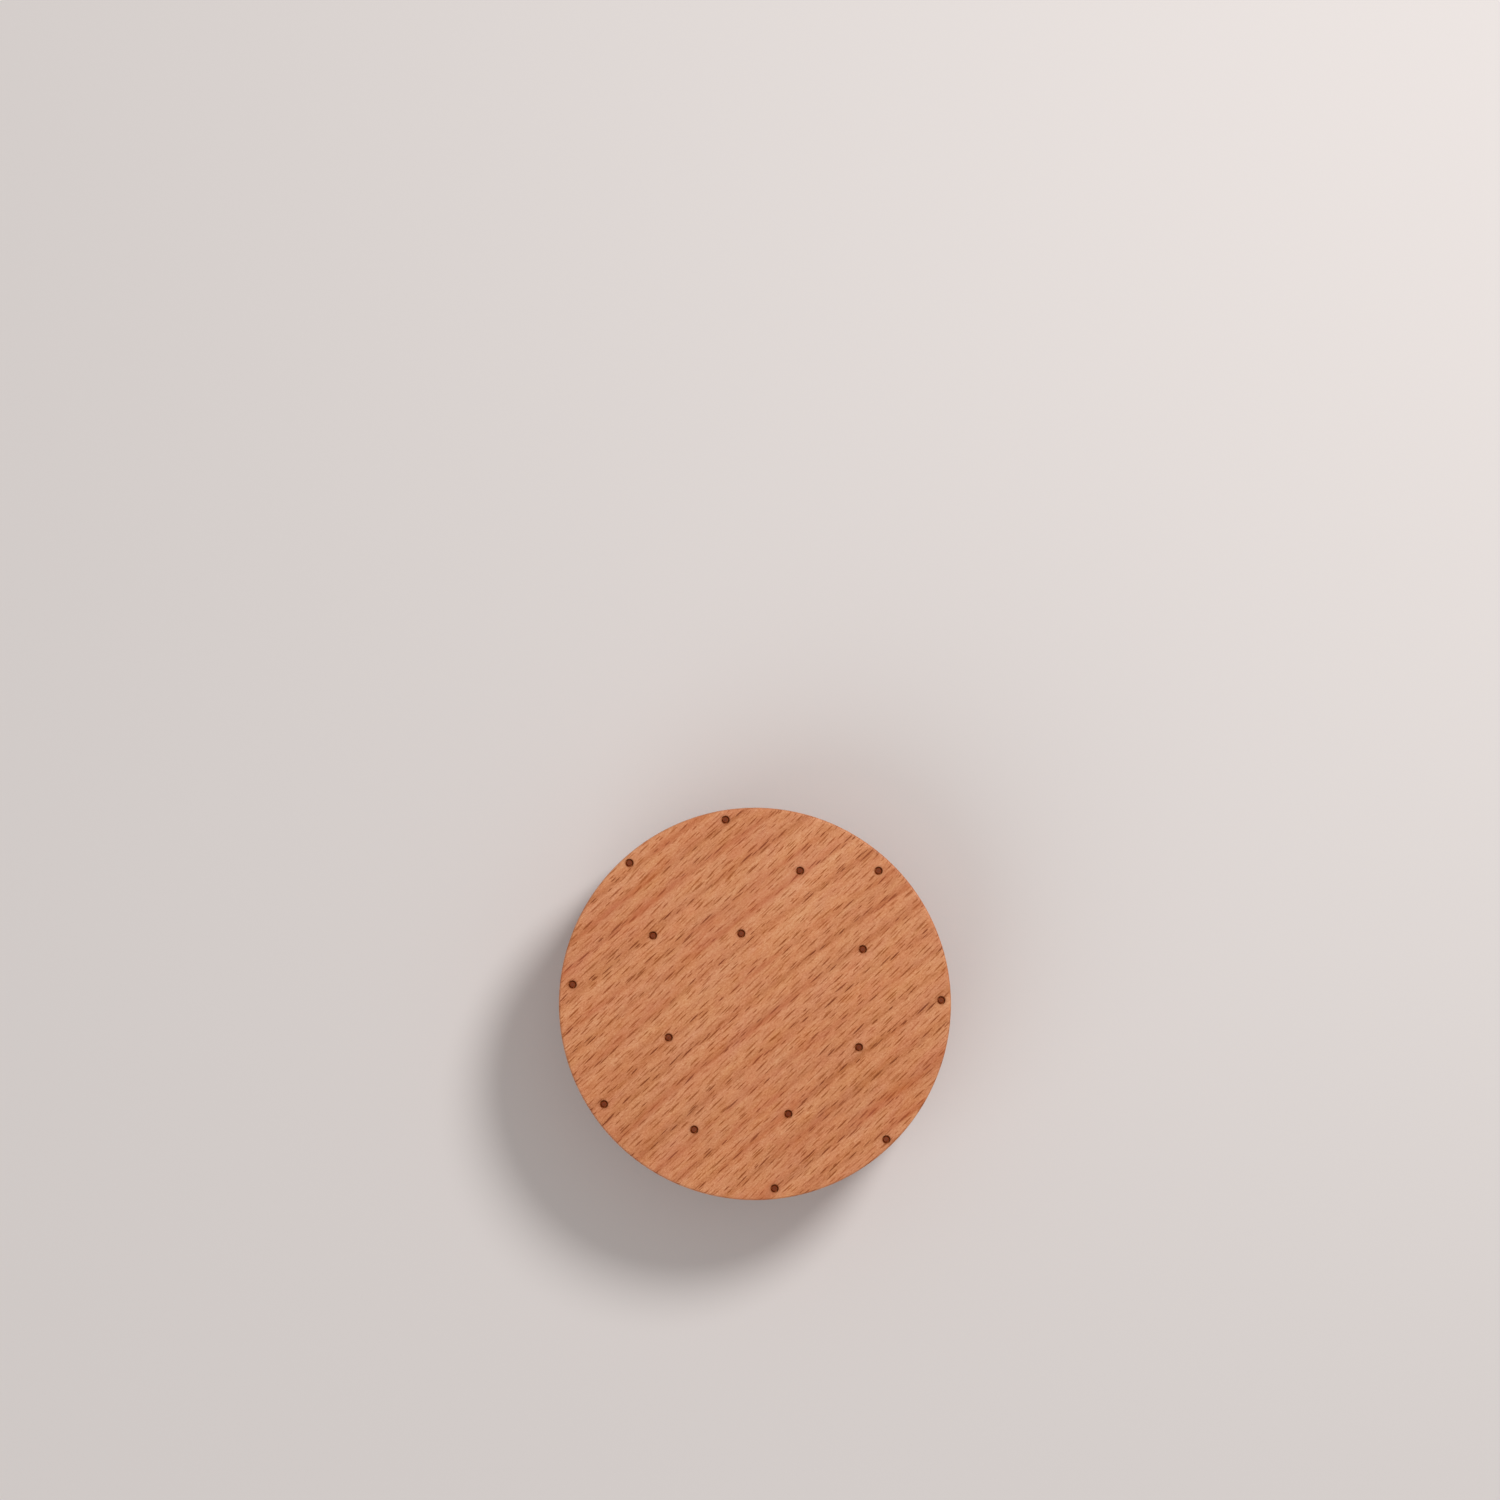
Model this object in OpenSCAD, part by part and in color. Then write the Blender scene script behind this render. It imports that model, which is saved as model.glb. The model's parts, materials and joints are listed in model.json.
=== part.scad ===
// Carafe lid, turned from one piece of beech.
//
// A round plate closes the carafe's mouth. The spigot under it drops into the neck and keeps the plate
// centred, and the seat, the flat ring of the plate's underside round the spigot, lies on the rim.
// A light scatter of small dots is burnt into the top face.
//
// Millimetres. The origin is the centre of the spigot's lower face, which the lid rests on when it is off
// the carafe, and +Z points up, out of the top face.

/* [Plate] */
// Diameter of the plate
plate_d = 66; // [60:0.5:90]
// Thickness of the plate
plate_t = 11; // [8:0.5:16]
// Radius that sanding leaves on the plate's upper and lower arris
arris_r = 0.4; // [0.1:0.05:0.5]

/* [Spigot] */
// Diameter of the spigot, which clears the inside of the neck
spigot_d = 52; // [40:0.5:56]
// Length of the spigot below the seat
spigot_l = 8; // [5:0.5:14]
// Radius of the lead-in round the spigot's lower edge
lead_r = 1.5; // [0.5:0.1:3]
// Radius that the turning tool's nose leaves in the corner between spigot and seat
corner_r = 0.6; // [0.3:0.1:1.2]

/* [Burnt dots] */
// Diameter of a dot
dot_d = 1.4; // [1:0.1:1.6]
// Depth of a dot's floor
dot_depth = 0.25; // [0.15:0.05:0.4]
// Width of the line that is burnt deeper round a dot's edge
line_w = 0.25; // [0.15:0.05:0.4]
// Depth of that line
line_depth = 0.5; // [0.45:0.05:1]

/* [Finish] */
// Colour of the oiled beech
beech = "#C8845A"; // ["#C8845A", "#DCAF86", "#A5663C"]
// Colour of the burnt wood in the dots
burnt = "#5E2A16"; // ["#5E2A16", "#3A1C10"]

/* [Hidden] */

$fn = 128;

// Heights of the seat and of the top face.
seat_z = spigot_l;
top_z = seat_z + plate_t;

// How far a cutting shape runs past the surface that it opens.
past = 1;

// Centres of the dots on the top face, in hundredths of the plate's radius. They are scattered by eye, and
// half of them stay close to the rim.
DOTS = [
    [-15, 94], [-64, 72], [23, 68], [63, 68],
    [-52, 35], [-7, 36], [55, 28], [-93, 10], [95, 2],
    [-44, -17], [53, -22], [-77, -51], [-31, -64],
    [17, -56], [67, -69], [10, -94]
];

// The waste outside a rounded convex corner. The sharp corner is at the origin, with its solid at -X and -Y.
module corner_waste(r) {
    difference() {
        translate([-r, -r]) square(r + past);
        translate([-r, -r]) circle(r);
    }
}

// Half of the lid's section, from its axis out: X is the radius and Y is the height.
module section() {
    difference() {
        union() {
            translate([0, seat_z]) square([plate_d / 2, plate_t]);
            square([spigot_d / 2, seat_z + past]);
            translate([spigot_d / 2, seat_z]) corner_fill();
        }
        translate([plate_d / 2, top_z]) corner_waste(arris_r);
        translate([plate_d / 2, seat_z]) mirror([0, 1]) corner_waste(arris_r);
        translate([spigot_d / 2, 0]) mirror([0, 1]) corner_waste(lead_r);
    }
}

// The wood that the tool's nose leaves in the hollow corner at the origin, below and beside it.
module corner_fill() {
    difference() {
        translate([-past, -corner_r]) square([past + corner_r, corner_r + past]);
        translate([corner_r, -corner_r]) circle(corner_r);
    }
}

// What burning takes away at one dot: a shallow floor, with a deeper line round its edge.
module burn() {
    translate([0, 0, -dot_depth]) cylinder(d = dot_d, h = dot_depth + past);
    difference() {
        translate([0, 0, -line_depth]) cylinder(d = dot_d, h = line_depth);
        translate([0, 0, -line_depth - past])
            cylinder(d = dot_d - 2 * line_w, h = line_depth + 2 * past);
    }
}

module lid() {
    difference() {
        color(beech) rotate_extrude() section();
        color(burnt) for (place = DOTS)
            translate([0, 0, top_z]) translate(place / 100 * plate_d / 2) burn();
    }
}

lid();
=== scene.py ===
# %% [markdown]
# # A turned beech lid for a carafe
# The lid is one piece of beech, turned on a lathe: a round plate with a narrower spigot under it that
# drops into the carafe's mouth. Sixteen small dots are burnt into the top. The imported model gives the
# true sizes, and this script models the same lid with a clean mesh and gives it its finish.

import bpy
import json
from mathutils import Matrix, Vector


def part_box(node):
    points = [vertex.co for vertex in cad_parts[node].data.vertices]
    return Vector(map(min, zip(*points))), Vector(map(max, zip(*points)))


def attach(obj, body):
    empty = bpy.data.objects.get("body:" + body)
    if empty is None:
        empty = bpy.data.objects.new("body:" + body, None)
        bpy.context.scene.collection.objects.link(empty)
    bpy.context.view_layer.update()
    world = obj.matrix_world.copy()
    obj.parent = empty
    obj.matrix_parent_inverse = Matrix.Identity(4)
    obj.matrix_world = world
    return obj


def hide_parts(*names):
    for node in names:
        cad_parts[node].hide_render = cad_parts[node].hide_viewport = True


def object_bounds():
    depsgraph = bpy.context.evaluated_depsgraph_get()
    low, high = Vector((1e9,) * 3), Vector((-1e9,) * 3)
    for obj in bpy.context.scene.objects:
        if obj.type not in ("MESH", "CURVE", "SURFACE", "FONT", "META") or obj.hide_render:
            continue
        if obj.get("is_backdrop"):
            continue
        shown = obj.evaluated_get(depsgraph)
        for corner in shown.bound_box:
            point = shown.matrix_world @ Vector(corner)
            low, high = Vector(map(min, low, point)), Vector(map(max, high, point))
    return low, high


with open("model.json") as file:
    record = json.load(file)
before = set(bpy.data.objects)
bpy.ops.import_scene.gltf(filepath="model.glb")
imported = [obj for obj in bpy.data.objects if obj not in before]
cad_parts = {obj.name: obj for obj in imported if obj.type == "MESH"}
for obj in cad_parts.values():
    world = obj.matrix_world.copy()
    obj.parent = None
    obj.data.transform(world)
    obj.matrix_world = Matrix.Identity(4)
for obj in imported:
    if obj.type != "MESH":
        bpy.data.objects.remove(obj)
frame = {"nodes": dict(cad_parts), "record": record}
cad_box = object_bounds()
print("CAD box in mm:", [[round(value * 1000, 2) for value in corner] for corner in cad_box])

# %% [markdown]
# Blender counts in metres and a turner in millimetres, so one constant stands between the two. The
# modules below bring Blender itself, its vectors, and Python's arithmetic and file writing.

# %% Tools from Python
import json
import math

import bpy
from mathutils import Matrix, Vector

MM = 0.001  # one millimetre in the scene's metres
print("Blender", bpy.app.version_string, "with one millimetre as", MM)

# %% [markdown]
# ## The camera
# The lid rests on its spigot, so the dotted face looks straight up and the camera looks straight down on
# it. A long lens from well above keeps the face square and shows almost nothing of the rim. The
# camera stands a little beyond the lid, so the lid sits low in the view with empty floor above it.

# %% Camera
LENS_MM = 200
SENSOR_MM = 36
VIEW_WIDTH = 252.4 * MM
BESIDE_LID = -0.83 * MM
BEYOND_LID = 42.77 * MM

lid_low, lid_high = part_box("lid")
camera_height = VIEW_WIDTH * LENS_MM / SENSOR_MM
bpy.ops.object.camera_add(
    location=(BESIDE_LID, BEYOND_LID, lid_high.z + camera_height), rotation=(0, 0, 0)
)
camera = bpy.context.object
camera.name = "camera"
camera.data.lens = LENS_MM
camera.data.sensor_width = SENSOR_MM
camera.data.clip_end = 10
bpy.context.scene.camera = camera
print("camera stands", round(camera_height, 3), "m above the lid")

# %% [markdown]
# ## Measuring the frame
# Nothing is typed twice: the plate, the spigot, their rounded edges and the dots are all read off the
# imported model's own corner points and its record of mounts. A turned piece is easy to read, because each
# level has one radius.

# %% Sizes of the turned body
points = [vertex.co.copy() for vertex in frame["nodes"]["lid"].data.vertices]
SAME = 0.001 * MM  # points this close are on one level
NEAR = 0.01 * MM  # edges this close are on one circle


def radius_of(point):
    """How far a point lies from the lid's turning axis."""
    return math.hypot(point.x, point.y)


def radii_at(level):
    """The radii of the model's points at one height."""
    return [radius_of(point) for point in points if abs(point.z - level) < SAME]


spigot_mount = next(mount for mount in frame["record"]["mounts"] if mount["name"] == "spigot")
seat_mount = next(mount for mount in frame["record"]["mounts"] if mount["name"] == "seat")
top_z = lid_high.z
seat_z = seat_mount["pos_m"][2]
plate_r = max(radius_of(point) for point in points)
spigot_r = spigot_mount["dims"]["r_mm"] * MM
arris_r = plate_r - max(radii_at(top_z))
lead_r = spigot_r - max(radii_at(lid_low.z))
corner_r = min(radii_at(seat_z)) - spigot_r
turned = {"plate": plate_r, "spigot": spigot_r, "arris": arris_r, "lead-in": lead_r, "corner": corner_r}
print("radii in mm:", {name: round(radius / MM, 2) for name, radius in turned.items()})

# %% [markdown]
# The dots are the only points below the top face that lie well inside the flat part of the top. Points
# close to each other belong to one dot, and the middle of such a heap is the middle of its dot.

# %% Places and sizes of the dots
ONE_DOT = 2 * MM  # sunk points this close belong to one dot

inside_top = [point for point in points if radius_of(point) < plate_r - arris_r - NEAR]
sunk = [point for point in inside_top if seat_z + NEAR < point.z < top_z - NEAR]
levels = sorted({round((top_z - point.z) / MM, 3) for point in sunk})
dot_depth, line_depth = levels[0] * MM, levels[-1] * MM
heaps = []
for point in sunk:
    heap = next((heap for heap in heaps if (heap[0] - point).length < ONE_DOT), None)
    if heap is None:
        heap = []
        heaps.append(heap)
    heap.append(point)
dots = []
for heap in heaps:
    low = [min(point[axis] for point in heap) for axis in range(2)]
    high = [max(point[axis] for point in heap) for axis in range(2)]
    dots.append(Vector(((low[0] + high[0]) / 2, (low[1] + high[1]) / 2, top_z)))
dot_r = (high[0] - low[0]) / 2
floor_heap = [point for point in heap if abs(top_z - dot_depth - point.z) < NEAR]
floor_r = max((point - dots[-1]).xy.length for point in floor_heap)
dot_sizes = {"radius": dot_r, "floor": floor_r, "depth": dot_depth, "line's depth": line_depth}
print(len(dots), "dots, in mm:", {name: round(size / MM, 2) for name, size in dot_sizes.items()})

# %% [markdown]
# ## Modelling by hand, in code
# Blender's edit-mode tools act on what is selected. Each step below picks faces or edges by where they
# lie, then calls the same tool that a person would click.

# %% Helpers that select by place
import bmesh


def start_clean():
    """Leaves edit mode with nothing selected."""
    if bpy.context.object and bpy.context.object.mode != "OBJECT":
        bpy.ops.object.mode_set(mode="OBJECT")
    bpy.ops.object.select_all(action="DESELECT")


def pick(kind, wanted):
    """In edit mode, selects the faces or edges for which wanted(element) is true, and counts them."""
    bpy.ops.mesh.select_mode(type=kind)
    bpy.ops.mesh.select_all(action="DESELECT")
    mesh = bmesh.from_edit_mesh(bpy.context.object.data)
    elements = mesh.faces if kind == "FACE" else mesh.edges
    chosen = [element for element in elements if wanted(element)]
    for element in chosen:
        element.select = True
    mesh.select_flush_mode()
    bmesh.update_edit_mesh(bpy.context.object.data)
    return len(chosen)


start_clean()
print("selected after a clean start:", len(bpy.context.selected_objects))

# %% [markdown]
# ## The turned body
# On the lathe the blank is faced, cut to the plate's diameter, and stepped down to the spigot. The same
# order works here: a cylinder for the plate, its lower face inset to the spigot's radius and extruded
# down. A profile turned with Spin would give the same shape, but then the top would be a fan of thin
# triangles that meet in one point.

# %% Plate and spigot
SIDES = 256

start_clean()
bpy.ops.mesh.primitive_cylinder_add(
    vertices=SIDES, radius=plate_r, depth=top_z - seat_z, location=(0, 0, (top_z + seat_z) / 2)
)
lid = bpy.context.object
lid.name = "turned_lid"
bpy.ops.object.transform_apply(location=True)
bpy.ops.object.mode_set(mode="EDIT")
pick("FACE", lambda face: face.normal.z < -0.9)
bpy.ops.mesh.inset(thickness=plate_r - spigot_r, use_even_offset=True)
bpy.ops.mesh.extrude_region_move(TRANSFORM_OT_translate={"value": (0, 0, lid_low.z - seat_z)})
spigot_end = [vertex.co for vertex in bmesh.from_edit_mesh(lid.data).verts if vertex.co.z < NEAR]
print("spigot radius in mm:", round(max(radius_of(point) for point in spigot_end) / MM, 3))


# %% [markdown]
# Now each edge gets the rounding that the turner gave it: a fine arris on the plate, a generous lead-in
# that finds the carafe's mouth, and a small fillet where the spigot meets the seat. Bevel does all four.

# %% Rounded edges
def circle(level, radius):
    """Picks the edges that run round the lid at this height and radius."""

    def on_circle(edge):
        return all(
            abs(vertex.co.z - level) < NEAR and abs(radius_of(vertex.co) - radius) < NEAR
            for vertex in edge.verts
        )

    return pick("EDGE", on_circle)


EDGES_TO_ROUND = (
    ("arris of the top", top_z, plate_r, arris_r, 6),
    ("arris of the seat", seat_z, plate_r, arris_r, 6),
    ("lead-in", lid_low.z, spigot_r, lead_r, 10),
    ("corner at the seat", seat_z, spigot_r, corner_r, 5),
)
for name, level, radius, rounding, steps in EDGES_TO_ROUND:
    found = circle(level, radius)
    bpy.ops.mesh.bevel(offset=rounding, segments=steps, affect="EDGES")
    print(name, "rounds", found, "edges")

# %% [markdown]
# A round face of 256 corners would be one huge polygon. Grid Fill turns it into tidy four-sided faces,
# which shade evenly and take the cuts for the dots well.

# %% Four-sided faces on the top and the base
for level, side in ((top_z, 1), (lid_low.z, -1)):
    pick("FACE", lambda face: side * face.normal.z > 0.9 and len(face.verts) == SIDES)
    bpy.ops.mesh.delete(type="ONLY_FACE")
    pick("EDGE", lambda edge: edge.is_boundary)
    bpy.ops.mesh.fill_grid(span=SIDES // 4)
bpy.ops.mesh.select_all(action="SELECT")
bpy.ops.mesh.normals_make_consistent(inside=False)
bpy.ops.object.mode_set(mode="OBJECT")
print("body faces:", len(lid.data.polygons))

# %% [markdown]
# ## The burnt dots
# A hot tip leaves a shallow pit with a deeper line round its edge. The pit is modelled once, as the
# tool that cuts it: a short cylinder whose lower face is stepped back up to leave the line, with its
# edges eased because charred wood crumbles and never stays sharp.

# %% One cutter
PIT_SIDES = 40
FLARE = 0.03 * MM  # how much the pit's mouth widens, and over what depth
ABOVE = 0.3 * MM  # how far the cutter stands out of the top
EASE = 0.05 * MM

start_clean()
body_depth = line_depth - FLARE
bpy.ops.mesh.primitive_cylinder_add(
    vertices=PIT_SIDES, radius=dot_r, depth=body_depth, location=(0, 0, top_z - FLARE - body_depth / 2)
)
cutter = bpy.context.object
bpy.ops.object.transform_apply(location=True)
bpy.ops.object.mode_set(mode="EDIT")
pick("FACE", lambda face: face.normal.z < -0.9)
bpy.ops.mesh.inset(thickness=dot_r - floor_r, use_even_offset=True)
bpy.ops.mesh.extrude_region_move(TRANSFORM_OT_translate={"value": (0, 0, line_depth - dot_depth)})
for depth, radius in ((line_depth, dot_r), (line_depth, floor_r), (dot_depth, floor_r)):
    circle(top_z - depth, radius)
    bpy.ops.mesh.bevel(offset=EASE, segments=3, affect="EDGES")
pick("FACE", lambda face: face.normal.z > 0.9 and len(face.verts) == PIT_SIDES)
flared = 1 + FLARE / dot_r
bpy.ops.mesh.extrude_region_move(TRANSFORM_OT_translate={"value": (0, 0, FLARE)})
bpy.ops.transform.resize(value=(flared, flared, 1))
bpy.ops.mesh.extrude_region_move(TRANSFORM_OT_translate={"value": (0, 0, ABOVE)})
pick("FACE", lambda face: face.normal.z < -0.9 and len(face.verts) == PIT_SIDES)
bpy.ops.mesh.delete(type="ONLY_FACE")
pick("EDGE", lambda edge: edge.is_boundary)
bpy.ops.mesh.fill_grid(span=PIT_SIDES // 4)
bpy.ops.mesh.select_all(action="SELECT")
bpy.ops.mesh.normals_make_consistent(inside=False)
bpy.ops.object.mode_set(mode="OBJECT")
print("cutter faces:", len(cutter.data.polygons))

# %% [markdown]
# A copy of the cutter goes to each dot's place, where a Displace modifier roughens it a little. Its noise
# depends on the place, so no two pits come out alike. Then one Boolean cuts all of them at once.

# %% Sixteen roughened copies
ROUGH_GRAIN = 0.25 * MM
ROUGH_HEIGHT = 0.04 * MM

char_texture = bpy.data.textures.new("crumbled_char", "CLOUDS")
char_texture.noise_scale = ROUGH_GRAIN
copies = []
for dot in dots:
    start_clean()
    cutter.select_set(True)
    bpy.context.view_layer.objects.active = cutter
    bpy.ops.object.duplicate()
    copy = bpy.context.object
    copy.location = (dot.x, dot.y, 0)
    bpy.ops.object.transform_apply(location=True)
    rough = copy.modifiers.new("rough", "DISPLACE")
    rough.texture = char_texture
    rough.strength = ROUGH_HEIGHT
    bpy.ops.object.modifier_apply(modifier=rough.name)
    copies.append(copy)
bpy.data.objects.remove(cutter)
start_clean()
for copy in copies:
    copy.select_set(True)
bpy.context.view_layer.objects.active = copies[0]
bpy.ops.object.join()
cutters = bpy.context.object
print("cutters joined:", len(cutters.data.polygons), "faces")

# %% Cut the pits
start_clean()
lid.select_set(True)
bpy.context.view_layer.objects.active = lid
cut = lid.modifiers.new("pits", "BOOLEAN")
cut.operation = "DIFFERENCE"
cut.solver = "EXACT"
cut.object = cutters
bpy.ops.object.modifier_apply(modifier=cut.name)
bpy.data.objects.remove(cutters)
print("faces after the cut:", len(lid.data.polygons))

# %% [markdown]
# The cut leaves its corner points in any order, and merging the close ones keeps whichever comes first.
# Sort Elements puts them in order of distance from the 3D cursor, so each run gives the same lid. The
# cursor stands to one side, where no two points are equally far away.

# %% Sort, merge, turn outwards and smooth
SMOOTH_UP_TO = math.radians(32)
SORT_FROM = (0.1, 0.0137, 0.05)  # metres

bpy.context.scene.cursor.location = SORT_FROM
bpy.ops.object.mode_set(mode="EDIT")
bpy.ops.mesh.select_all(action="SELECT")
bpy.ops.mesh.sort_elements(type="CURSOR_DISTANCE", elements={"VERT", "EDGE", "FACE"})
bpy.ops.mesh.remove_doubles(threshold=0.5 * NEAR)
bpy.ops.mesh.normals_make_consistent(inside=False)
open_edges = pick("EDGE", lambda edge: not edge.is_manifold)
bpy.ops.object.mode_set(mode="OBJECT")
bpy.ops.object.shade_smooth_by_angle(angle=SMOOTH_UP_TO)
weighted = lid.modifiers.new("flat_stays_flat", "WEIGHTED_NORMAL")
weighted.keep_sharp = True
bpy.ops.object.modifier_apply(modifier=weighted.name)
print("open edges:", open_edges, "faces:", len(lid.data.polygons))

# %% [markdown]
# ## How the board was cut
# Wood is a solid pattern, and a turned piece is cut out of it. So the pattern is drawn in the log's own
# directions: along the fibres, round the rings, and outwards from the heart. The top shows two sets of
# lines. The short dark dashes are rays seen end-on, and they run along the fibres at 44 degrees. The
# long soft lines are growth rings, at 38 degrees. Rings 2.3 mm wide show here at 3.8 mm, so the face was
# sawn 37 degrees away from flat to the rings. The log's three directions follow from those three
# angles, and then every side of the lid has its right grain by itself.

# %% Directions of the log
FIBRE_ANGLE = math.radians(44)
RING_ANGLE = math.radians(38)
SAWN_ANGLE = math.radians(37)
RING_WIDTH = 2.3  # mm, one year's growth

dash_line = Vector((math.cos(FIBRE_ANGLE), math.sin(FIBRE_ANGLE), 0))
across_rings = Vector((math.sin(RING_ANGLE), -math.cos(RING_ANGLE), 0))
outwards = across_rings * math.sin(SAWN_ANGLE) + Vector((0, 0, math.cos(SAWN_ANGLE)))
round_rings = outwards.cross(dash_line).normalized()
along = round_rings.cross(outwards).normalized()
log_turn = Matrix((along, round_rings, outwards)).to_euler("XYZ")
print("fibres run along", [round(value, 3) for value in along])
print("rings show every", round(RING_WIDTH / math.sin(SAWN_ANGLE), 2), "mm on the top")

# %% [markdown]
# ## Colours and nodes
# Colours are written as sRGB hex values, the way a paint chart gives them, and one function turns them
# into the linear values that Blender's nodes want. One more function adds any node, sets what it is
# told to set and links what it is told to link, so a material reads as a list of steps.

# %% One function for colours
def linear(hex_colour):
    """An sRGB colour such as #C67F54 as linear red, green, blue and alpha."""
    shares = [int(hex_colour[start : start + 2], 16) / 255 for start in (1, 3, 5)]
    return [s / 12.92 if s <= 0.04045 else ((s + 0.055) / 1.055) ** 2.4 for s in shares] + [1.0]


PLAIN_BEECH = "#C67F54"
print("plain beech, linear:", [round(share, 3) for share in linear(PLAIN_BEECH)[:3]])


# %% One function for nodes
def add(tree, kind, inputs=(), stops=(), **settings):
    """Adds a node with its settings and links. An input goes by place or name, as a value, a node or a
    socket. A colour ramp's stops are places from 0 to 1, each with a hex colour or a grey level."""
    made = tree.nodes.new("ShaderNode" + kind)
    for name, value in settings.items():
        setattr(made, name, value)
    for name, value in inputs.items() if isinstance(inputs, dict) else enumerate(inputs):
        if isinstance(value, bpy.types.Node):
            value = value.outputs[0]
        if isinstance(value, bpy.types.NodeSocket):
            tree.links.new(value, made.inputs[name])
        else:
            made.inputs[name].default_value = value
    for _ in stops[2:]:
        made.color_ramp.elements.new(0.5)
    for number, (place, colour) in enumerate(stops):
        stop = made.color_ramp.elements[number]
        stop.position = place
        stop.color = linear(colour) if isinstance(colour, str) else (colour, colour, colour, 1.0)
    return made


# oiled beech looks warm and close-grained, with broad soft highlights that never mirror anything
oiled_beech = bpy.data.materials.new("oiled_beech")
oiled_beech.use_nodes = True
tree = oiled_beech.node_tree
tree.nodes.clear()
here = add(tree, "TexCoord")
print("oiled beech starts from:", here.name)

# %% [markdown]
# ## Oiled beech
# The wood is steamed European beech, turned, sanded fine and oiled: warm pink-brown, close-grained, with
# a low satin sheen. Its finish could be one wood picture, but a picture has one side only. Nodes that
# read each point's place give every cut face its own grain. The first nodes turn a point's place into
# millimetres in the log's directions, and then let the fibres sway a little, as they do in a tree.

# %% A place in the log
SWAY = 0.9  # mm
SWAY_SIZE = (16, 5, 12)  # mm along, round and outwards, as all pattern sizes here are

log = add(tree, "Mapping", {"Vector": here.outputs["Object"], "Scale": (1 / MM,) * 3, "Rotation": log_turn})
slow = add(tree, "VectorMath", (log, [1 / size for size in SWAY_SIZE]), operation="MULTIPLY")
wave = add(tree, "TexNoise", {"Vector": slow, "Scale": 1.0, "Detail": 1.0})
centred_wave = add(tree, "VectorMath", (wave.outputs["Color"], (0.5, 0.5, 0.5)), operation="SUBTRACT")
swayed = add(tree, "VectorMath", (centred_wave, (0, SWAY, 0), log), operation="MULTIPLY_ADD")
print("nodes for the place:", len(tree.nodes))

# %% [markdown]
# ## Growth rings
# Each year's ring starts pale and ends in a thin dark line of late wood. The distance outwards from
# the heart, counted in ring widths, is the ring's number, and its fraction is the place within the
# year. A little noise makes the rings wander and keeps any two years from being alike.

# %% Place within the year's ring
RING_BEND = -0.0006  # per mm, how the rings curve along the board
WANDER, WANDER_SIZE = 0.8, (34, 9, 9)  # mm
UNEVEN, UNEVEN_SCALE = 1.8, 0.17  # mm and per mm, how much and how fast the width of the years changes

split = add(tree, "SeparateXYZ", (log,))
run_squared = add(tree, "Math", (split.outputs[0], split.outputs[0]), operation="MULTIPLY")
bent = add(tree, "Math", (run_squared, RING_BEND, split.outputs[2]), operation="MULTIPLY_ADD")
slow = add(tree, "VectorMath", (log, [1 / size for size in WANDER_SIZE]), operation="MULTIPLY")
wander = add(tree, "TexNoise", {"Vector": slow, "Scale": 1.0, "Detail": 2.0, "Roughness": 0.45})
wandered = add(tree, "Math", (wander, WANDER, bent), operation="MULTIPLY_ADD")
uneven = add(tree, "TexNoise", {"W": wandered, "Scale": UNEVEN_SCALE, "Detail": 0.0}, noise_dimensions="1D")
spread = add(tree, "Math", (uneven, UNEVEN, wandered), operation="MULTIPLY_ADD")
rings = add(tree, "Math", (spread, 1 / RING_WIDTH), operation="MULTIPLY")
within_year = add(tree, "Math", (rings,), operation="FRACT")
print("nodes with the rings' places:", len(tree.nodes))

# %% [markdown]
# A colour ramp is a handy way to draw a curve: here it turns the place within the year into how pale
# the wood is. The dark line isn't equally clear everywhere, so a slow noise fades it in and out.

# %% From pale early wood to the dark line
YEAR = ((0, 0.2), (0.09, 0.86), (0.22, 1.0), (0.52, 0.9), (0.74, 0.66), (0.87, 0.16), (0.95, 0.0), (1, 0.03))
YEAR_MIDDLE = 0.66
LATE_FROM = YEAR[4][0]
FAINT_YEAR, STRONG_YEAR = 14, 21  # levels of brightness, of 255, between pale and dark wood
FADE_SIZE = (22, 6, 3)  # mm

profile = add(tree, "ValToRGB", (within_year,), stops=YEAR)
late = add(tree, "Math", (1.0, profile), operation="SUBTRACT")
slow = add(tree, "VectorMath", (log, [1 / size for size in FADE_SIZE]), operation="MULTIPLY")
fade = add(tree, "TexNoise", {"Vector": slow, "Scale": 1.0, "Detail": 2.0})
contrast = add(tree, "MapRange", {
    "Value": fade, "From Min": 0.3, "From Max": 0.7, "To Min": FAINT_YEAR, "To Max": STRONG_YEAR,
})
centred_profile = add(tree, "Math", (profile, YEAR_MIDDLE), operation="SUBTRACT")
levels = add(tree, "Math", (centred_profile, contrast), operation="MULTIPLY")
print("the dark line fills", round((1 - LATE_FROM) * RING_WIDTH, 2), "mm of each ring")

# %% [markdown]
# ## The rays
# In beech the rays are thin upright sheets of cells. Each is a spindle when cut across: 1 to 5 mm long,
# up to 0.3 mm wide and pointed at both ends. They stagger like bricks. So the pattern is a brick bond
# in the log's directions: columns of cells, each column slid and stretched by chance, with one spindle
# of chance length at a chance place inside each cell.

# %% One bond of rays
PACES = (0.8, 1.25)  # the least and greatest number of cells that a column has where another has one
SHORTEST, LONGEST = 0.17, 0.46  # half a spindle's length, as a share of its cell's
MARGIN = 0.16  # no spindle's middle line comes nearer to its cell's side, as a share of its width
SOFT_EDGE = 0.55  # how far in from its outline a spindle reaches its full strength


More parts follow.
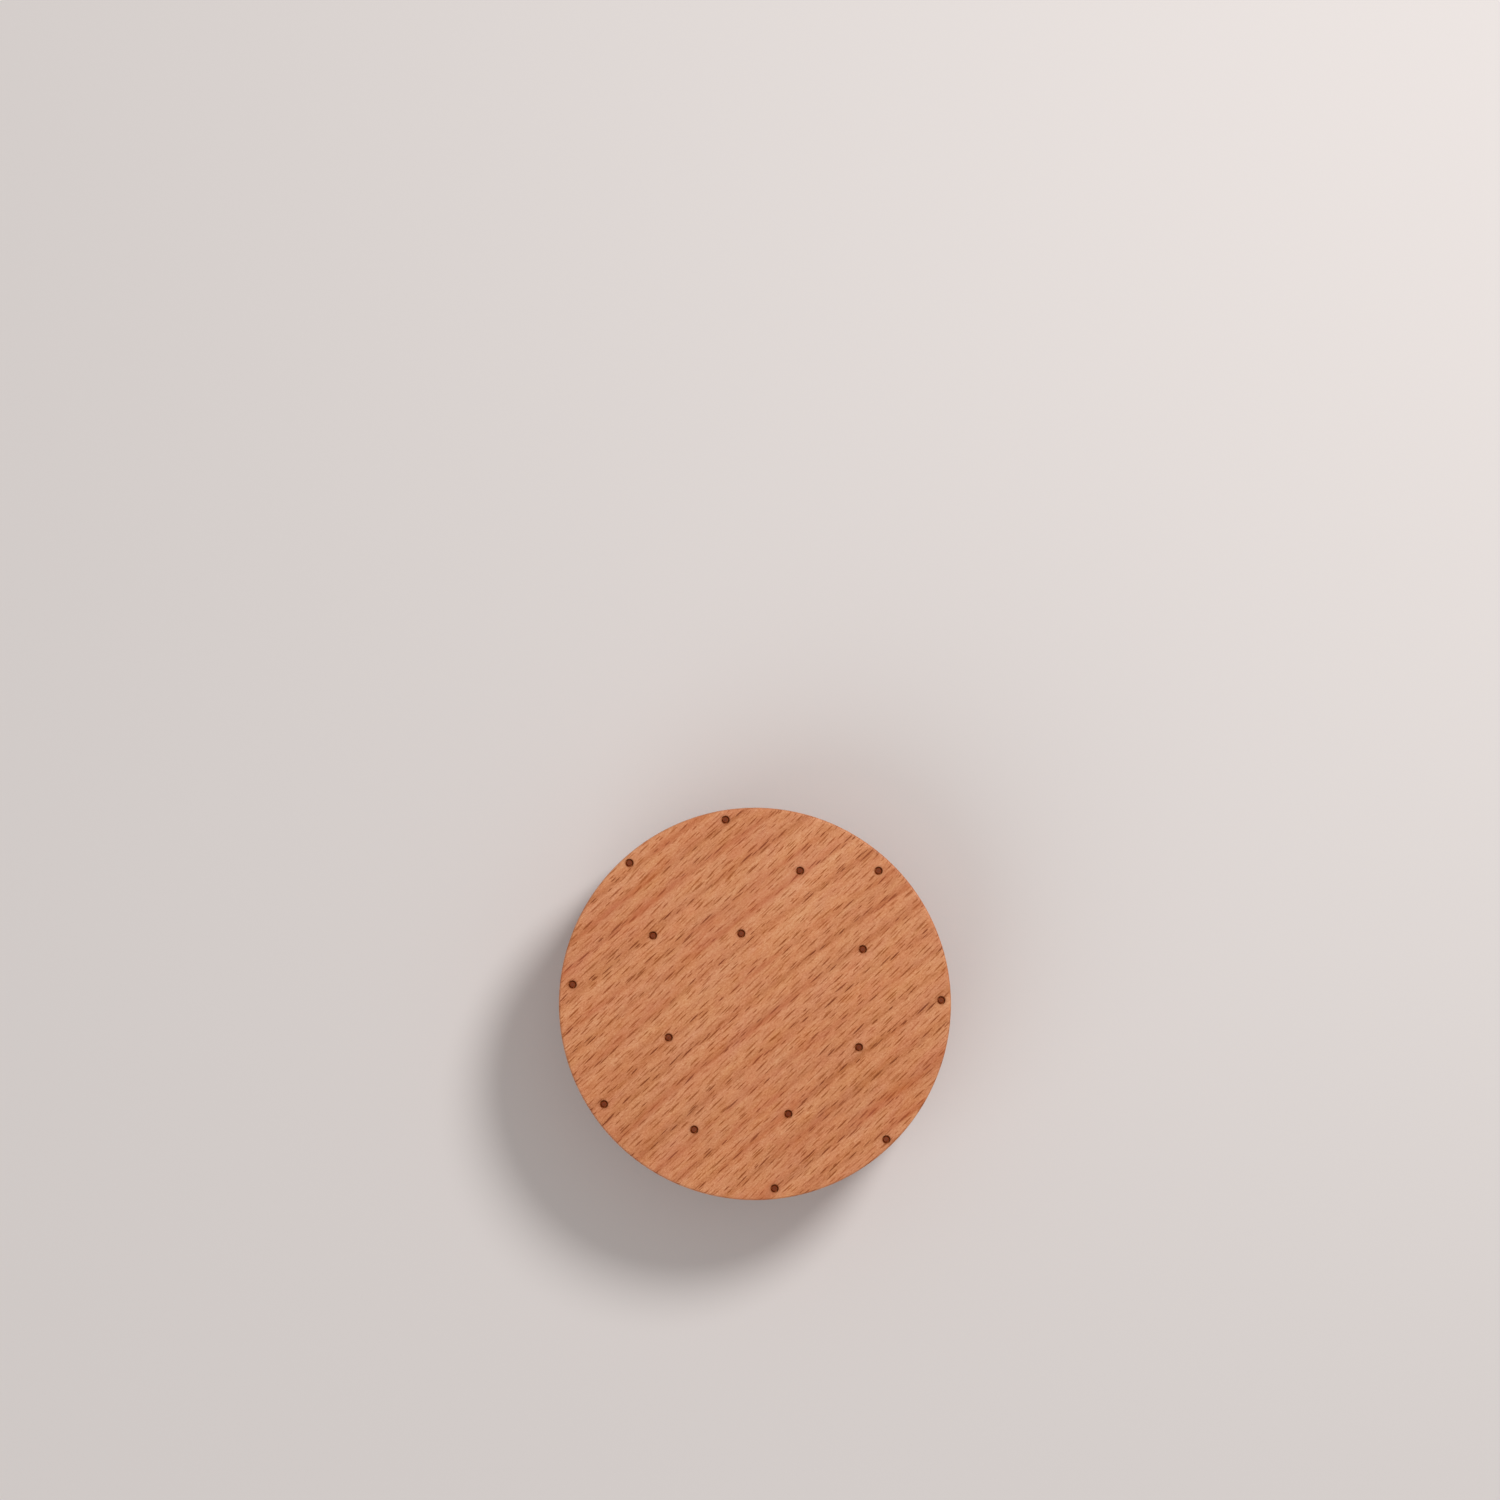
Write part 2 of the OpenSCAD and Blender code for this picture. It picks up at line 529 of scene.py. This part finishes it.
def ray_bond(log, cell, half_widths, weights, seed):
    """Spindles in cells of this length and width in mm. log gives the place in the log's directions.
    half_widths are the least and greatest in mm, and weights the least and greatest strength."""
    cell_along, cell_across = cell
    split = add(tree, "SeparateXYZ", (log,))
    across = add(tree, "Math", (split.outputs[1], 1 / cell_across, seed), operation="MULTIPLY_ADD")
    column = add(tree, "Math", (across,), operation="FLOOR")
    chance = add(tree, "TexWhiteNoise", {"W": column}, noise_dimensions="1D")
    chances = add(tree, "SeparateColor", (chance.outputs["Color"],))
    pace = add(tree, "MapRange", {"Value": chances.outputs[1], "To Min": PACES[0], "To Max": PACES[1]})
    paced = add(tree, "Math", (split.outputs[0], pace), operation="MULTIPLY")
    slid = add(tree, "Math", (paced, 1 / cell_along, chance.outputs["Value"]), operation="MULTIPLY_ADD")
    cells = add(tree, "CombineXYZ", (slid, across, seed))
    which = add(tree, "VectorMath", (cells,), operation="FLOOR")
    inside = add(tree, "VectorMath", (cells,), operation="FRACTION")
    return one_spindle(which, inside, [width / cell_across for width in half_widths], weights)


def one_spindle(which, inside, half_widths, weights):
    """One pointed spindle in a cell, given the cell's number and the place inside it from 0 to 1."""
    dice = add(tree, "TexWhiteNoise", {"Vector": which}, noise_dimensions="3D")
    rolled = add(tree, "SeparateColor", (dice.outputs["Color"],))
    skewed = add(tree, "Math", (rolled.outputs[2], 1.2), operation="POWER")
    reach = add(tree, "MapRange", {"Value": skewed, "To Min": SHORTEST, "To Max": LONGEST})
    half_width = add(tree, "MapRange", {"Value": skewed, "To Min": half_widths[0], "To Max": half_widths[1]})
    weight = add(tree, "MapRange", {"Value": rolled.outputs[1], "To Min": weights[0], "To Max": weights[1]})
    room = add(tree, "Math", (reach, -2.0, 1.0), operation="MULTIPLY_ADD")
    middle_along = add(tree, "Math", (room, dice.outputs["Value"], reach), operation="MULTIPLY_ADD")
    between_margins = {"Value": rolled.outputs[0], "To Min": MARGIN, "To Max": 1 - MARGIN}
    middle_across = add(tree, "MapRange", between_margins)
    middle = add(tree, "CombineXYZ", (middle_along, middle_across))
    offset = add(tree, "VectorMath", (inside, middle), operation="SUBTRACT")
    parts = add(tree, "SeparateXYZ", (offset,))
    run = add(tree, "Math", (parts.outputs[0], reach), operation="DIVIDE")
    run_squared = add(tree, "Math", (run, run), operation="MULTIPLY")
    taper = add(tree, "Math", (1.0, run_squared), operation="SUBTRACT")
    side = add(tree, "Math", (parts.outputs[1],), operation="ABSOLUTE")
    side_share = add(tree, "Math", (side, half_width), operation="DIVIDE")
    height = add(tree, "Math", (taper, side_share), operation="SUBTRACT")
    filled = add(tree, "MapRange", {"Value": height, "From Max": SOFT_EDGE}, interpolation_type="SMOOTHSTEP")
    return add(tree, "Math", (filled, weight), operation="MULTIPLY")


# %% [markdown]
# Beech has broad rays and many narrow ones between them. So a second, finer bond of fainter spindles
# lies over the first, which also hides what regularity is left.

# %% Two bonds, one over the other
BROAD_CELL = (4.2, 0.66)  # mm
FINE_CELL = (3.6, 0.6)  # mm

broad_rays = ray_bond(swayed, BROAD_CELL, (0.1, 0.14), (0.32, 0.9), seed=0.0)
fine_rays = ray_bond(swayed, FINE_CELL, (0.06, 0.1), (0.1, 0.8), seed=7.0)
all_rays = add(tree, "Math", (broad_rays, fine_rays), operation="MAXIMUM")
for name, cell in (("broad", BROAD_CELL), ("fine", FINE_CELL)):
    print("one", name, "ray for each", round(cell[0] * cell[1], 1), "square mm")

# %% [markdown]
# The rays are darkest in the late wood. They show most on a face that is cut flat to the rings, as the
# top nearly is, and less on one cut straight through them, so their strength follows the face's lean.

# %% How strongly the rays show
FULL_FROM = 0.64  # the square of the lean from which the rays show in full
LEAST_SHOWN = 0.36
EARLY_DEPTH, LATE_DEPTH = -58.0, -92.0  # levels of brightness

lean = add(tree, "VectorMath", (here.outputs["Normal"], tuple(outwards)), operation="DOT_PRODUCT")
flat_cut = add(tree, "Math", (lean.outputs["Value"], lean.outputs["Value"]), operation="MULTIPLY")
shown = add(tree, "MapRange", {"Value": flat_cut, "From Max": FULL_FROM, "To Min": LEAST_SHOWN})
rays = add(tree, "Math", (all_rays, shown), operation="MULTIPLY")
ray_depth = add(tree, "MapRange", {"Value": late, "To Min": EARLY_DEPTH, "To Max": LATE_DEPTH})
levels = add(tree, "Math", (rays, ray_depth, levels), operation="MULTIPLY_ADD")
print("the top's lean, squared:", round(outwards.z ** 2, 2), "and rays show in full from", FULL_FROM)

# %% [markdown]
# ## Fibres, pores, streaks and bands
# Between the rays lies a texture of several sizes: fibres, the open ends of the pores, streaks along the
# board, thin bands that run with the rings, and very broad clouds. Each is one Noise Texture stretched
# to its real size. A beech pore is under 0.1 mm wide, too fine to show, so the pores are drawn twice as
# coarse. The last column says by how many levels of brightness, from 0 to 255, each moves the colour.

# %% Five sizes of grain
GRAIN = (
    # name, size in mm along, round and outwards, detail, levels
    ("fibres", (1.8, 0.2, 0.2), 1.0, 30.0),
    ("pores", (0.32, 0.17, 0.17), 1.0, 54.0),
    ("streaks", (24, 0.6, 0.6), 2.0, 20.0),
    ("bands", (40, 14, 0.6), 1.0, 28.0),
    ("clouds", (45, 20, 20), 1.0, 20.0),
)
grain = {}
for name, sizes, detail, strength in GRAIN:
    stretched = add(tree, "VectorMath", (swayed, [1 / size for size in sizes]), operation="MULTIPLY")
    grain[name] = add(tree, "TexNoise", {"Vector": stretched, "Scale": 1.0, "Detail": detail})
    centred = add(tree, "Math", (grain[name], 0.5), operation="SUBTRACT")
    levels = add(tree, "Math", (centred, strength, levels), operation="MULTIPLY_ADD")
print("sizes of grain:", ", ".join(grain))

# %% [markdown]
# ## One value of brightness, one row of colours
# All that darkens or lightens the wood is now one sum. A ramp of beech colours turns it into colour,
# because in such wood the dark parts are always the redder ones. Each stop of the ramp lies at the
# brightness of its own colour, so ten levels in the sum are ten levels on the wood. End grain drinks
# more oil, so a face that looks along the fibres is made darker first.

# %% Beech colours by brightness
BEECH_TONES = ("#7C3710", "#8C4418", "#A15829", "#AA6033", "#B1683B", "#B86F44", "#C0774C", "#C57D52",
               "#C98156", "#CC855A", "#CF895E", "#D28E62", "#DA9A70")
END_GRAIN_LEVELS = -14.0


def brightness(hex_colour):
    """The mean of a colour's red, green and blue, from 0 to 255."""
    return sum(int(hex_colour[start : start + 2], 16) for start in (1, 3, 5)) / 3


darkest, lightest = brightness(BEECH_TONES[0]), brightness(BEECH_TONES[-1])
tone_range = lightest - darkest
end_on = add(tree, "VectorMath", (here.outputs["Normal"], tuple(along)), operation="DOT_PRODUCT")
end_grain = add(tree, "Math", (end_on.outputs["Value"], end_on.outputs["Value"]), operation="MULTIPLY")
levels = add(tree, "Math", (end_grain, END_GRAIN_LEVELS, levels), operation="MULTIPLY_ADD")
plain_place = (brightness(PLAIN_BEECH) - darkest) / tone_range
tone = add(tree, "Math", (levels, 1 / tone_range, plain_place), operation="MULTIPLY_ADD")
tones = [((brightness(colour) - darkest) / tone_range, colour) for colour in BEECH_TONES]
wood = add(tree, "ValToRGB", (tone,), stops=tones)
print("the ramp spans", round(tone_range), "levels, with plain beech at", round(plain_place, 2))

# %% [markdown]
# ## Redder and yellower wood
# No board has one hue. Here and there steamed beech has a redder flame along the late wood, and all of
# it drifts slightly between pink and straw. One noise places the flames. Another, read twice, turns
# the hue by a few thousandths and makes the colour a little stronger or weaker.

# %% Flames and drift
FLAME_SIZE = (24, 5, 3.2)  # mm
FLAME_COLOUR = "#B95F38"
DRIFT_SIZE = (9, 3.5, 3.5)  # mm
LEAST_HUE, GREATEST_HUE = 0.4922, 0.5092  # shares of a full turn of hue, where 0.5 turns nothing

stretched = add(tree, "VectorMath", (swayed, [1 / size for size in FLAME_SIZE]), operation="MULTIPLY")
flames = add(tree, "TexNoise", {"Vector": stretched, "Scale": 1.0, "Detail": 2.0})
flame_share = add(tree, "MapRange", {"Value": flames, "From Min": 0.46, "From Max": 0.68, "To Max": 0.5})
late_share = add(tree, "MapRange", {"Value": late, "To Min": 0.35})
redness = add(tree, "Math", (flame_share, late_share), operation="MULTIPLY")
# a Mix node for colours takes its share at 0 and its two colours at 6 and 7, and gives the mix at 2
reddened = add(tree, "Mix", {0: redness, 6: wood, 7: linear(FLAME_COLOUR)}, data_type="RGBA")

stretched = add(tree, "VectorMath", (log, [1 / size for size in DRIFT_SIZE]), operation="MULTIPLY")
drift = add(tree, "TexNoise", {"Vector": stretched, "Scale": 1.0, "Detail": 3.0, "Roughness": 0.75})
drifts = add(tree, "SeparateColor", (drift.outputs["Color"],))
hue = add(tree, "MapRange", {"Value": drifts.outputs[0], "To Min": LEAST_HUE, "To Max": GREATEST_HUE})
strength = add(tree, "MapRange", {"Value": drifts.outputs[1], "To Min": 0.94, "To Max": 1.054})
tinted = add(tree, "HueSaturation", {"Hue": hue, "Saturation": strength, "Color": reddened.outputs[2]})
print("the hue drifts within", round((GREATEST_HUE - LEAST_HUE) * 360, 1), "degrees")

# %% [markdown]
# ## Scorched edges
# The hot tip browns the wood just outside each dot. The distance to the nearest dot tells where: one
# distance for each of the sixteen, and the smallest of them counts.

# %% Brown round the dots
SCORCH_R = 1.2  # mm from a dot's middle, where the browning ends
SCORCH_COLOUR = "#7A3E22"
SCORCH_SHARE = 0.27  # of that colour at the dot's edge

nearest = None
for dot in dots:
    distance = add(tree, "VectorMath", (here.outputs["Object"], tuple(dot)), operation="DISTANCE")
    reach = distance.outputs["Value"]
    nearest = reach if nearest is None else add(tree, "Math", (nearest, reach), operation="MINIMUM")
from_dot = add(tree, "Math", (nearest, 1 / MM), operation="MULTIPLY")
scorch = add(
    tree, "MapRange",
    {"Value": from_dot, "From Min": dot_r / MM, "From Max": SCORCH_R, "To Min": SCORCH_SHARE, "To Max": 0.0},
    interpolation_type="SMOOTHSTEP",
)
scorched = add(tree, "Mix", {0: scorch, 6: tinted, 7: linear(SCORCH_COLOUR)}, data_type="RGBA")
print("browning reaches", round(SCORCH_R - dot_r / MM, 2), "mm past a dot's edge")

# %% [markdown]
# ## Sheen and touch
# Oil leaves a low satin sheen, a little glossier on the hard fibres. A shallow bump lets the rays sink
# in and the fibres stand, by hundredths of a millimetre, as on a sanded and oiled surface.

# %% The shader
RELIEF = 0.02 * MM
GLOSSIEST, DULLEST = 0.46, 0.62  # roughness of the hard and the soft fibres

satin = add(tree, "MapRange", {"Value": grain["fibres"], "To Min": GLOSSIEST, "To Max": DULLEST})
relief_sum = add(tree, "Math", (rays, -1.0, grain["fibres"]), operation="MULTIPLY_ADD")
relief = add(tree, "Bump", {"Strength": 0.35, "Distance": RELIEF, "Height": relief_sum})
shader = add(tree, "BsdfPrincipled", {
    "Base Color": scorched.outputs[2], "Roughness": satin, "Specular IOR Level": 0.3, "Normal": relief,
})
add(tree, "OutputMaterial", {"Surface": shader})
print("nodes in oiled beech:", len(tree.nodes))

# %% [markdown]
# ## Burnt beech
# Inside the pits the wood is charred: dark red-brown and dull, darkest in the line round the edge, paler
# in the middle where the tip pressed less hot. It is the same wood, so the material is a copy of the
# oiled one with the char laid over it, and no two dots are burnt quite alike.

# %% Char over a copy of the wood
CHAR = ((0.0, "#6C3220"), (0.36, "#6A301B"), (0.47, "#802F06"), (0.66, "#883709"), (0.74, "#A05A30"))
HEAT_SIZE = 9  # mm, how slowly the burning changes from dot to dot
DULL = 0.85  # roughness of char
FAINT_SHINE = 0.15

# charred beech looks dark red-brown and quite dull, because the burnt surface has no oil left on it
burnt_beech = oiled_beech.copy()
burnt_beech.name = "burnt_beech"
tree = burnt_beech.node_tree
char = add(tree, "ValToRGB", (tree.nodes[from_dot.name],), stops=CHAR)
stretched = add(tree, "VectorMath", (tree.nodes[log.name], (1 / HEAT_SIZE,) * 3), operation="MULTIPLY")
heat = add(tree, "TexNoise", {"Vector": stretched, "Scale": 1.0, "Detail": 3.0})
depth = add(tree, "MapRange", {"Value": heat, "From Min": 0.35, "From Max": 0.65, "To Min": 0.84})
under_char = tree.nodes[scorched.name].outputs[2]
charred = add(tree, "Mix", {0: depth, 6: under_char, 7: char}, data_type="RGBA")
burnt_shader = tree.nodes[shader.name]
tree.links.new(charred.outputs[2], burnt_shader.inputs["Base Color"])
tree.links.remove(burnt_shader.inputs["Roughness"].links[0])
burnt_shader.inputs["Roughness"].default_value = DULL
burnt_shader.inputs["Specular IOR Level"].default_value = FAINT_SHINE
tree.nodes.remove(tree.nodes[satin.name])
print("nodes in burnt beech:", len(tree.nodes))

# %% [markdown]
# The lid has two material slots. All of it starts as oiled beech, and the faces that lie inside a pit
# are then picked by their place and given the burnt finish.

# %% Put the two finishes on
start_clean()
lid.select_set(True)
bpy.context.view_layer.objects.active = lid
lid.data.materials.clear()
lid.data.materials.append(oiled_beech)
lid.data.materials.append(burnt_beech)


def in_a_pit(face):
    """True for a face that lies below the top face and inside a dot's mouth."""
    middle = face.calc_center_median()
    inside_a_dot = any((middle - dot).xy.length < dot_r + 2 * FLARE for dot in dots)
    return inside_a_dot and middle.z < top_z - 0.2 * NEAR and middle.z > seat_z + NEAR


bpy.ops.object.mode_set(mode="EDIT")
pit_faces = pick("FACE", in_a_pit)
lid.active_material_index = 1
bpy.ops.object.material_slot_assign()
bpy.ops.object.mode_set(mode="OBJECT")
print("burnt faces:", pit_faces)

# %% [markdown]
# ## Laying the surface out flat
# A model that leaves Blender carries its finish as pictures, and a UV map says which part of the
# picture each face gets. A turned piece unrolls well: the top and the underside go down as seen from
# above and below, the two round walls go down as strips, and the pits are opened out. The top gets the
# most room, ten points of the picture to each millimetre, because the dashes of the grain are only a
# third of a millimetre wide.

# %% The top and the underside on the sheet
SHEET = 102.4  # mm, the side of the square sheet on which the surface is laid
TOP_MIDDLE = (33.8, 33.8)  # mm on the sheet, as all places here are
UNDER_MIDDLE = (85.0, 17.6)
UNDER_SCALE = 0.5
LOOKS_UP = 0.7  # a face whose normal leans this much up or down belongs to the top or the underside


def seen_from_above(point):
    """The place on the sheet of a point of the top."""
    return TOP_MIDDLE[0] + point.x / MM, TOP_MIDDLE[1] + point.y / MM


def seen_from_below(point):
    """The place on the sheet of a point of the underside."""
    return UNDER_MIDDLE[0] + point.x / MM * UNDER_SCALE, UNDER_MIDDLE[1] - point.y / MM * UNDER_SCALE


print("the top fills", round(2 * plate_r / MM / SHEET, 2), "of the sheet's width")

# %% [markdown]
# A round wall unrolls into one long strip. It is cut into a few shorter ones that lie side by side, so
# that they fit on the sheet. A face goes to the strip that its middle belongs to.

# %% The round walls as strips
RIM = {"radius": plate_r, "foot": seat_z, "start": (1.6, 68.2), "count": 3, "pitch": 11.3, "scale": 1.0}
SIDE = {"radius": spigot_r, "foot": lid_low.z, "start": (72.2, 35.4), "count": 5, "pitch": 7.4, "scale": 0.88}


def on_strip(point, middle_angle, wall):
    """The place on the sheet of a point on a round wall, whose face has its middle at this angle."""
    strip = int(middle_angle / math.tau * wall["count"])
    from_middle = (math.atan2(point.y, point.x) - middle_angle + math.pi) % math.tau - math.pi
    run = (middle_angle + from_middle - strip * math.tau / wall["count"]) * wall["radius"] / MM
    rise = (point.z - wall["foot"]) / MM
    start = wall["start"]
    return start[0] + run * wall["scale"], start[1] + strip * wall["pitch"] + rise * wall["scale"]


print("a strip of the rim is", round(math.tau * plate_r / MM / RIM["count"], 1), "mm long")

# %% [markdown]
# A pit is opened out like a cup made of paper, with its floor in the middle and its walls around it. Seen
# from above, its upright walls would get no room at all.

# %% The pits opened out
PITS_START = (75.4, 76.2)
PITS_IN_A_ROW = 4
PIT_PITCH = 7.2
PIT_SCALE = 2.1


def on_opened_pit(point, which):
    """The place on the sheet of a point in a pit, by its direction from the pit's middle and its way
    along the floor and up the walls."""
    from_middle = (point - dots[which]).xy
    depth = top_z - point.z
    if from_middle.length < (floor_r + dot_r) / 2:
        way = from_middle.length + depth - dot_depth
    else:
        way = from_middle.length + 2 * line_depth - dot_depth - depth
    row, column = divmod(which, PITS_IN_A_ROW)
    flat = from_middle.normalized() * max(way, 0) / MM * PIT_SCALE
    return PITS_START[0] + column * PIT_PITCH + flat.x, PITS_START[1] + row * PIT_PITCH + flat.y


opened_r = dot_r + 2 * line_depth - dot_depth
print("a pit opens out from", round(2 * dot_r / MM, 2), "to", round(2 * opened_r / MM, 2), "mm across")


# %% [markdown]
# Last, each face says which of these it belongs to, and each of its corners gets its place.

# %% A place on the sheet for every corner
def on_sheet(point, face):
    """The place on the sheet, in mm, of this corner of a face."""
    if face.material_index == 1:
        nearest_dot = min(range(len(dots)), key=lambda which: (face.center - dots[which]).xy.length)
        return on_opened_pit(point, nearest_dot)
    if face.normal.z > LOOKS_UP:
        return seen_from_above(point)
    if face.normal.z < -LOOKS_UP:
        return seen_from_below(point)
    middle_angle = math.atan2(face.center.y, face.center.x) % math.tau
    wall = RIM if radius_of(face.center) > (plate_r + spigot_r) / 2 else SIDE
    return on_strip(point, middle_angle, wall)


flat_map = lid.data.uv_layers.new(name="OFBake")
lid.data.uv_layers.active = flat_map
for face in lid.data.polygons:
    for corner in face.loop_indices:
        vertex = lid.data.vertices[lid.data.loops[corner].vertex_index]
        flat_map.uv[corner].vector = [place / SHEET for place in on_sheet(vertex.co, face)]
laid = [corner.vector for corner in flat_map.uv]
lowest_laid = [round(min(place[axis] for place in laid), 3) for axis in range(2)]
highest_laid = [round(max(place[axis] for place in laid), 3) for axis in range(2)]
print("the map runs from", lowest_laid, "to", highest_laid)

# %% [markdown]
# ## The floor
# A plain pale floor, warm grey like painted board. Near the lid it takes the light and the shadow as
# any surface does. Far away it gives off its own steady colour, so that it stays pale to the horizon
# when the lid is seen from the side.

# %% Floor
FLOOR_SIZE = 12
FLOOR_COLOUR = "#D8D1CE"
LIT_UP_TO, STEADY_FROM = 0.1, 0.6  # metres from the lid, where the steady colour begins and is all

start_clean()
bpy.ops.mesh.primitive_plane_add(size=FLOOR_SIZE, location=(0, 0, lid_low.z))
floor = bpy.context.object
floor.name = "floor"
bpy.ops.object.transform_apply(location=True)
# matt paint scatters the light evenly, so the floor shows a soft shadow and no reflection
floor_paint = bpy.data.materials.new("matt_painted_board")
floor_paint.use_nodes = True
tree = floor_paint.node_tree
tree.nodes.clear()
place = add(tree, "TexCoord")
away = add(tree, "VectorMath", (place.outputs["Object"],), operation="LENGTH")
reach = {"Value": away.outputs["Value"], "From Min": LIT_UP_TO, "From Max": STEADY_FROM}
far = add(tree, "MapRange", reach, interpolation_type="SMOOTHSTEP")
matt = add(tree, "BsdfDiffuse", {"Color": linear(FLOOR_COLOUR)})
steady = add(tree, "Emission", {"Color": linear(FLOOR_COLOUR)})
blend = add(tree, "MixShader", (far, matt, steady))
add(tree, "OutputMaterial", {"Surface": blend})
floor.data.materials.append(floor_paint)
floor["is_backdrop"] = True
print("floor is", FLOOR_SIZE, "m square")

# %% [markdown]
# ## The light
# One broad soft lamp at the upper right does most of the work and gives the lid its shadow. A weak,
# wider one at the lower left keeps the shaded edge from going dark, and an even pale surround fills
# the rest. Their shares add up to one: together they light a level white surface to about full
# white, so the wood's colours come out as they are written. A disc lamp of radius r and power P lights
# a surface that faces it, d metres away, with P / (pi * (d * d + r * r)) on each square metre. White
# sends a pi-th of that to the eye, and a level surface is lit at a slant, so the share gives the power.

# %% Lamps
LAMP_DISTANCE = 0.8
LAMPS = (
    # name, azimuth, height above the floor in degrees, width in metres, share of the light
    ("key", 49, 43, 0.25, 0.48),
    ("fill", 229, 35, 0.8, 0.16),
)

for name, azimuth, height, width, share in LAMPS:
    azimuth, height = math.radians(azimuth), math.radians(height)
    level = math.cos(height)
    toward_lamp = Vector((level * math.cos(azimuth), level * math.sin(azimuth), math.sin(height)))
    facing = toward_lamp.to_track_quat("Z", "Y").to_euler()
    start_clean()
    bpy.ops.object.light_add(type="AREA", location=toward_lamp * LAMP_DISTANCE, rotation=facing)
    lamp = bpy.context.object
    lamp.name = name
    lamp.data.shape = "DISK"
    lamp.data.size = width
    lamp.data.energy = share * math.pi ** 2 * (LAMP_DISTANCE ** 2 + (width / 2) ** 2) / math.sin(height)
    print(name, "lamp power in W:", round(lamp.data.energy, 2))

# %% [markdown]
# The surround lights the lid from all sides alike. The camera sees it in the floor's colour, so that the
# floor and what lies behind it run together without a horizon.

# %% Surround
SURROUND_SHARE = 0.36

world = bpy.data.worlds.new("even_surround")
bpy.context.scene.world = world
world.use_nodes = True
tree = world.node_tree
tree.nodes.clear()
rays_seen = add(tree, "LightPath")
light = add(tree, "Background", {"Color": (1, 1, 1, 1), "Strength": SURROUND_SHARE})
seen = add(tree, "Background", {"Color": linear(FLOOR_COLOUR), "Strength": 1.0})
choice = add(tree, "MixShader", (rays_seen.outputs["Is Camera Ray"], light, seen))
add(tree, "OutputWorld", {"Surface": choice})
bpy.context.scene.view_settings.view_transform = "Standard"
print("light in all:", sum(share for *_, share in LAMPS) + SURROUND_SHARE)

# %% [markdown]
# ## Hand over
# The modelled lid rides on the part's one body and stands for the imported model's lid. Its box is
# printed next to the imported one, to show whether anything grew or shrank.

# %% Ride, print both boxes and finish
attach(lid, "root")
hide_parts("lid")

visual_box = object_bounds()
sizes = {
    "cad": [list(corner) for corner in cad_box],
    "visual": [list(corner) for corner in visual_box],
}
print("sizes:", sizes)
